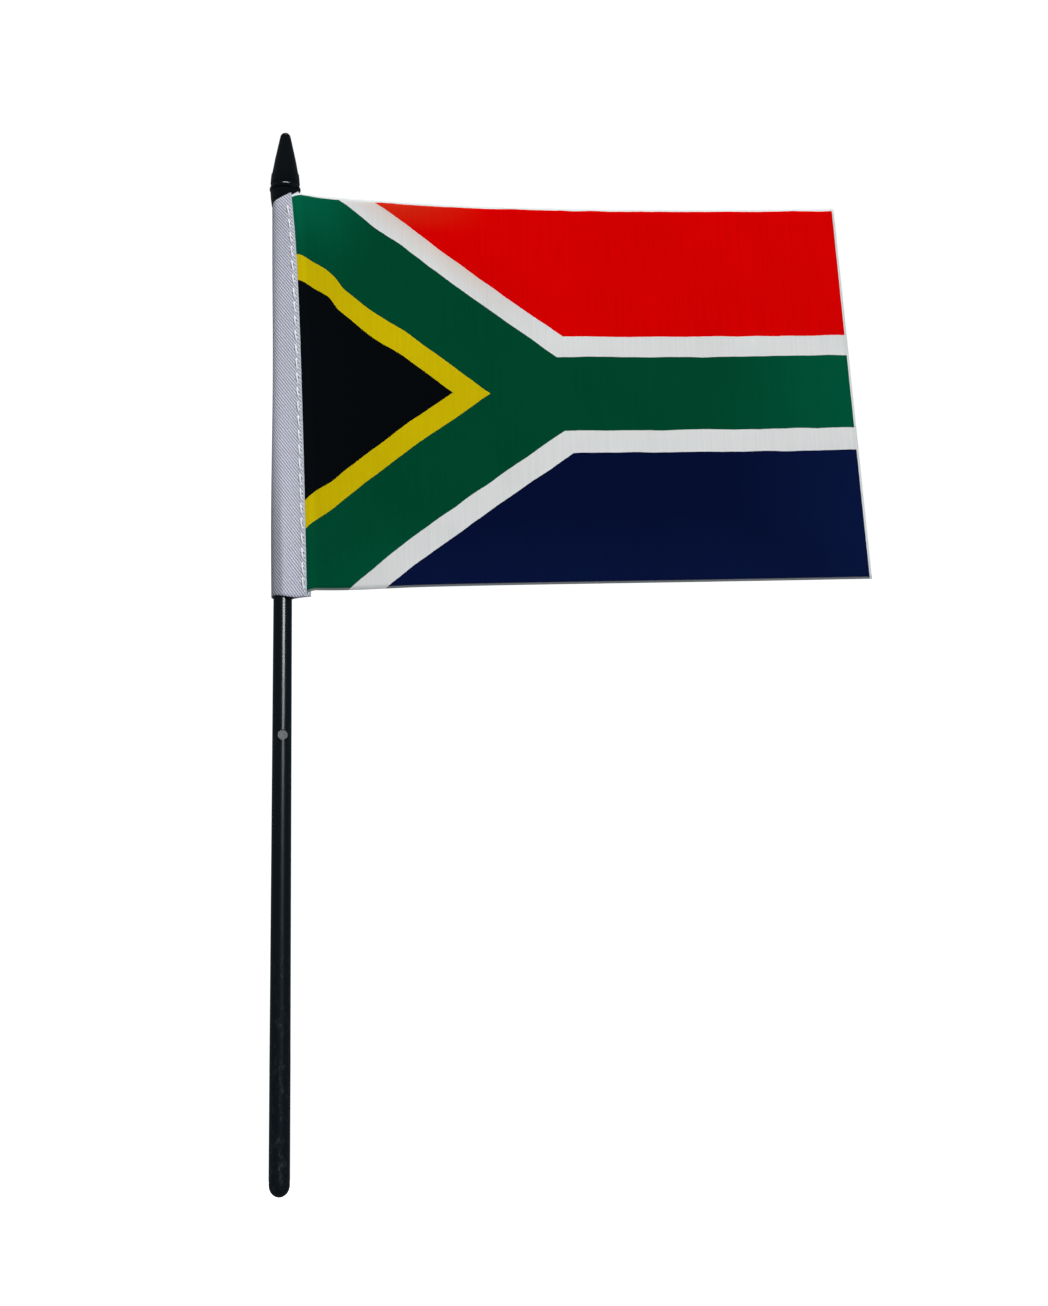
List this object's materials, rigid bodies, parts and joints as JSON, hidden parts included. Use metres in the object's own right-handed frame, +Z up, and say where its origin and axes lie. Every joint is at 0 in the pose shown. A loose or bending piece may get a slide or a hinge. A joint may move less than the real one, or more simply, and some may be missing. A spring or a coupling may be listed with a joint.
{
  "type": "hand flag on a stick",
  "caption": "Small printed cloth flag sewn to a twill hoist sleeve that turns on a black moulded plastic stick with a spear finial; the stick's lower end fits a desk flag base.",
  "frame": {"origin": "on the stick's axis, where the straight wall of its lower end begins, just above the rounded tip", "axes": "+Z up along the stick towards the finial, +X from the stick towards the flag's fly edge, -Y out of the flag's front face"},
  "size_m": [0.1455, 0.0352, 0.2523],
  "materials": {
    "stick_plastic": "glossy moulded styrene with faint draw marks",
    "finial_plastic": "glossy moulded styrene",
    "sleeve_twill": "white polyester twill with a visible diagonal weave",
    "flag_cloth": "thin printed polyester in red, white, green, yellow, black and blue",
    "thread": "white polyester sewing thread"
  },
  "bodies": {
    "stick": {"stick": "stick_plastic", "finial": "finial_plastic"},
    "sleeve": {"hoist_sleeve": "sleeve_twill", "panel_margin": "flag_cloth", "needle_thread": "thread", "bobbin_thread": "thread"},
    "panel": {"flag_panel": "flag_cloth"}
  },
  "joints": [
    {"name": "flag_turn", "type": "hinge", "parent": "stick", "child": "sleeve", "pos_m": [0, 0, 0.1799], "axis": [0, 0, 1], "continuous": true},
    {"name": "panel_fold", "type": "hinge", "parent": "sleeve", "child": "panel", "pos_m": [0.00494, -0.00415, 0.1814], "axis": [0, 0, 1], "range_deg": [-110, 50]}
  ]
}
